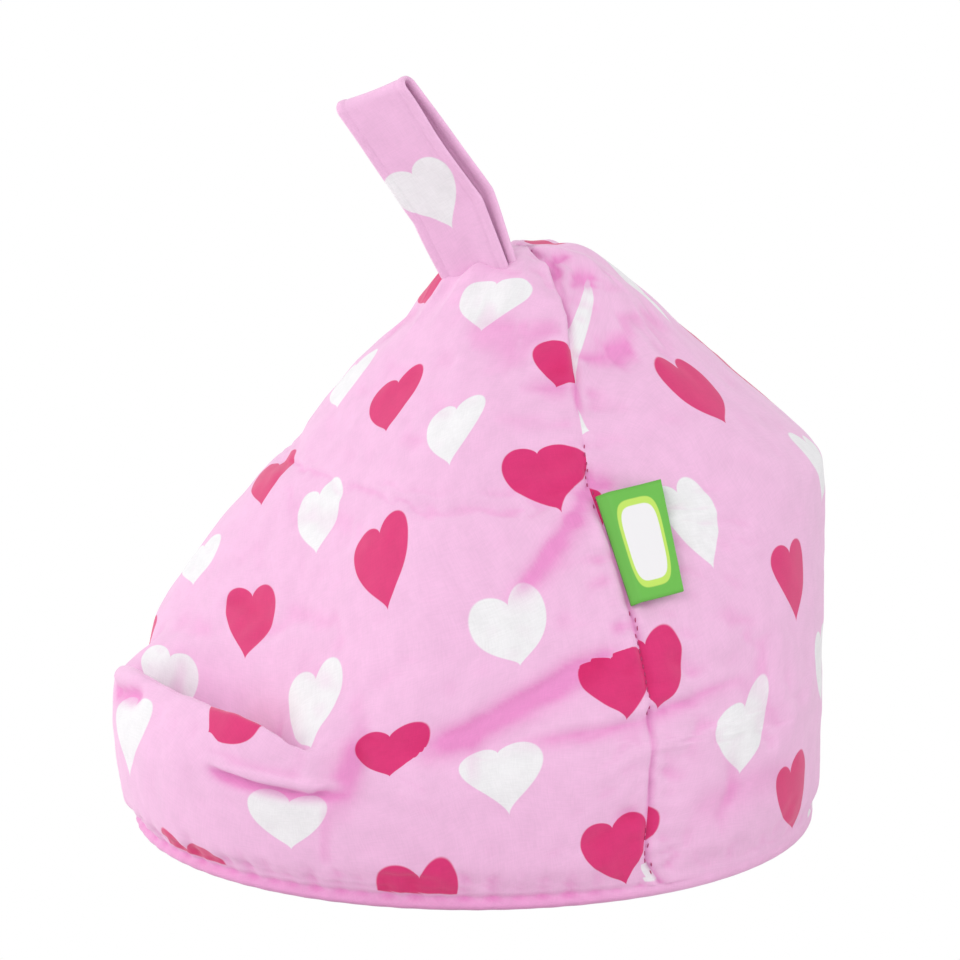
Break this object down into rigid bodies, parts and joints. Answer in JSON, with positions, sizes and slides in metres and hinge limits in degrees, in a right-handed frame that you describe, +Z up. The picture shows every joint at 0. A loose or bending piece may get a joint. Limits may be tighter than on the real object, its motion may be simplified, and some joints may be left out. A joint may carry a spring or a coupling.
{
  "type": "tablet cushion stand",
  "caption": "Bean-filled cushion with a slanted front, a groove and lip that prop up a flat device, a gathered top with a carry loop, and a label in the side seam.",
  "frame": {"origin": "on the floor at the middle of the flat base panel", "axes": "+Z up, -Y the front with the groove and lip, +X the side with the label"},
  "size_m": [0.2462, 0.2629, 0.2704],
  "materials": {
    "printed_cotton": "plain-weave pink cotton printed with white and deep pink hearts, matte",
    "strap_cotton": "plain-weave pink cotton strap with sewn edges, matte",
    "label_tape": "smooth green printed tape"
  },
  "bodies": {
    "root": {"cushion": "printed_cotton", "carry_handle": "strap_cotton", "side_label": "label_tape"}
  },
  "joints": []
}
